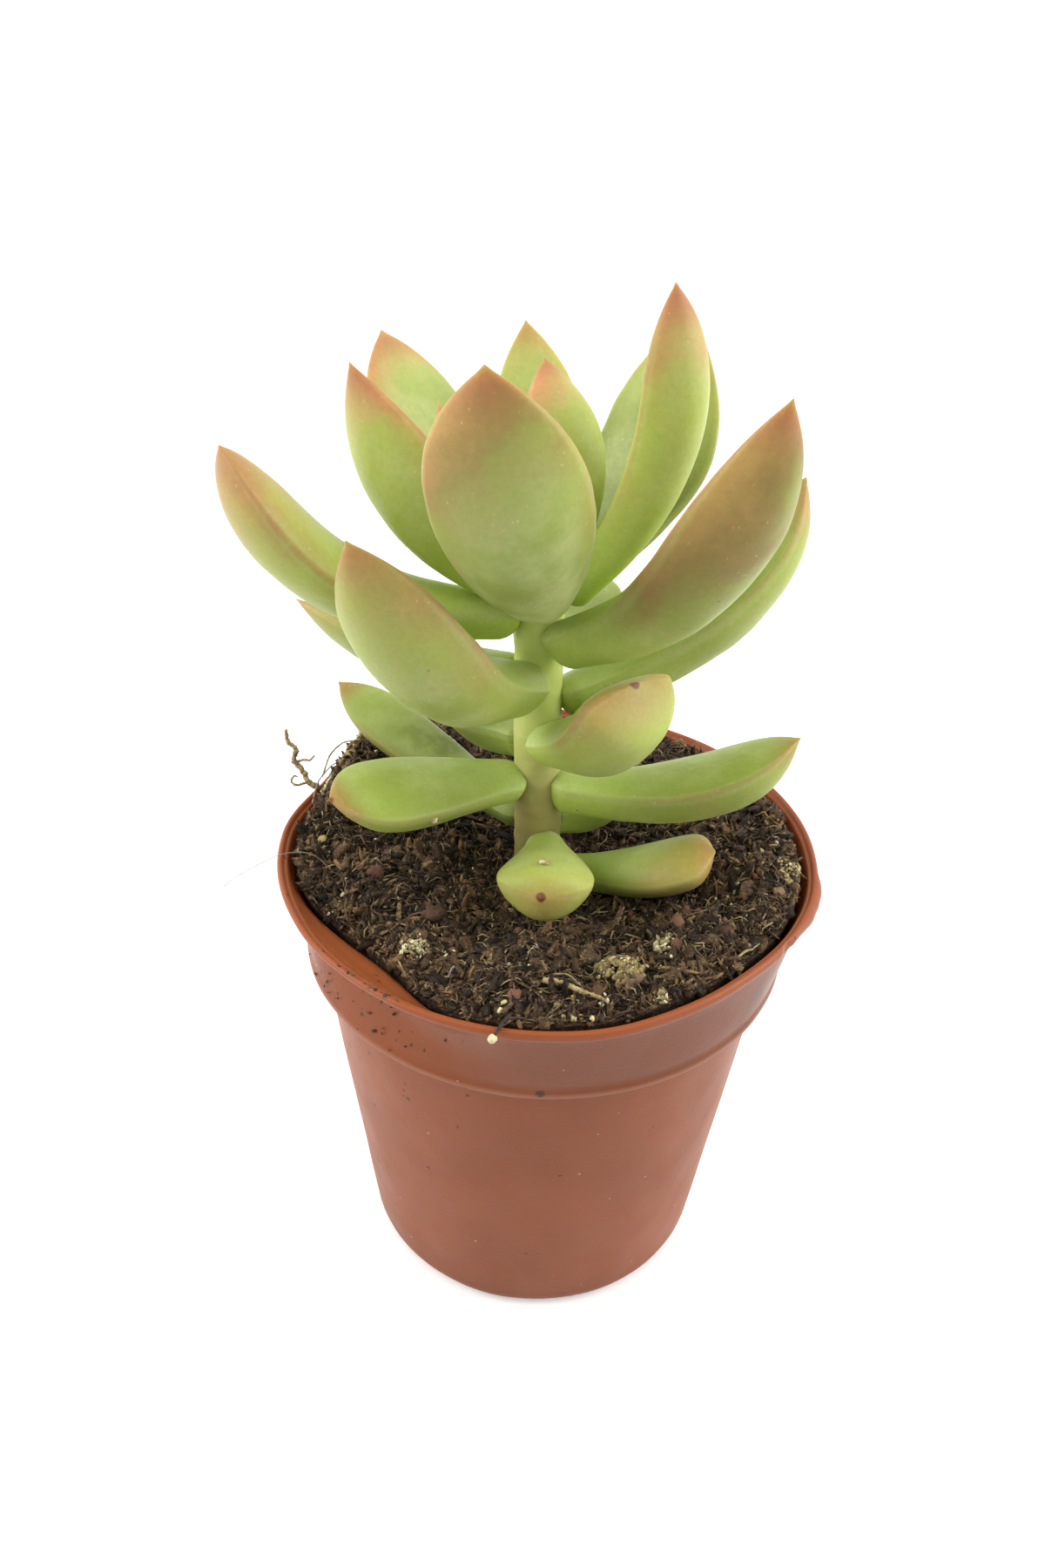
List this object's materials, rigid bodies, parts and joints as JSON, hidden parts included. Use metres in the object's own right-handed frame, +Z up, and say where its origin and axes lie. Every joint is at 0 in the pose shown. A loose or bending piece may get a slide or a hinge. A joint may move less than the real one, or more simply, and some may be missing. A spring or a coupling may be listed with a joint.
{
  "type": "potted sedum",
  "caption": "Upright succulent stem with thick pointed leaves, standing in soil in a small round tapered plastic pot with a collar.",
  "frame": {"origin": "on the pot's axis, on the surface that the pot stands on", "axes": "+Z up the stem; -Y is the front that the picture shows, and +X is its right"},
  "size_m": [0.0558, 0.055, 0.1069],
  "materials": {
    "pot": "satin terracotta-coloured plastic",
    "soil": "matt dark peat with fibres",
    "stem": "satin pale green to pinkish brown skin",
    "lower_leaf": "satin fresh green leaf skin",
    "upper_leaf": "satin yellow-green leaf skin, blushed orange at the tip"
  },
  "bodies": {
    "root": {"pot": "pot", "soil": "soil", "stem": "stem", "leaf_foot_front": "lower_leaf", "leaf_foot_right": "lower_leaf", "leaf_foot_back_right": "lower_leaf", "leaf_low_right": "lower_leaf", "leaf_low_left": "lower_leaf", "leaf_low_back_left": "lower_leaf", "leaf_low_back": "lower_leaf", "leaf_middle_front_right": "upper_leaf", "leaf_middle_right": "upper_leaf", "leaf_middle_front_left": "upper_leaf", "leaf_middle_back_left": "upper_leaf", "leaf_upper_front_right": "upper_leaf", "leaf_upper_back": "upper_leaf", "leaf_upper_left": "upper_leaf", "leaf_crown_front": "upper_leaf", "leaf_crown_right": "upper_leaf", "leaf_crown_back_right": "upper_leaf", "leaf_crown_left": "upper_leaf", "leaf_crown_back_left": "upper_leaf", "leaf_crown_back": "upper_leaf", "leaf_inner_right": "upper_leaf", "leaf_inner_left": "upper_leaf"}
  },
  "joints": []
}
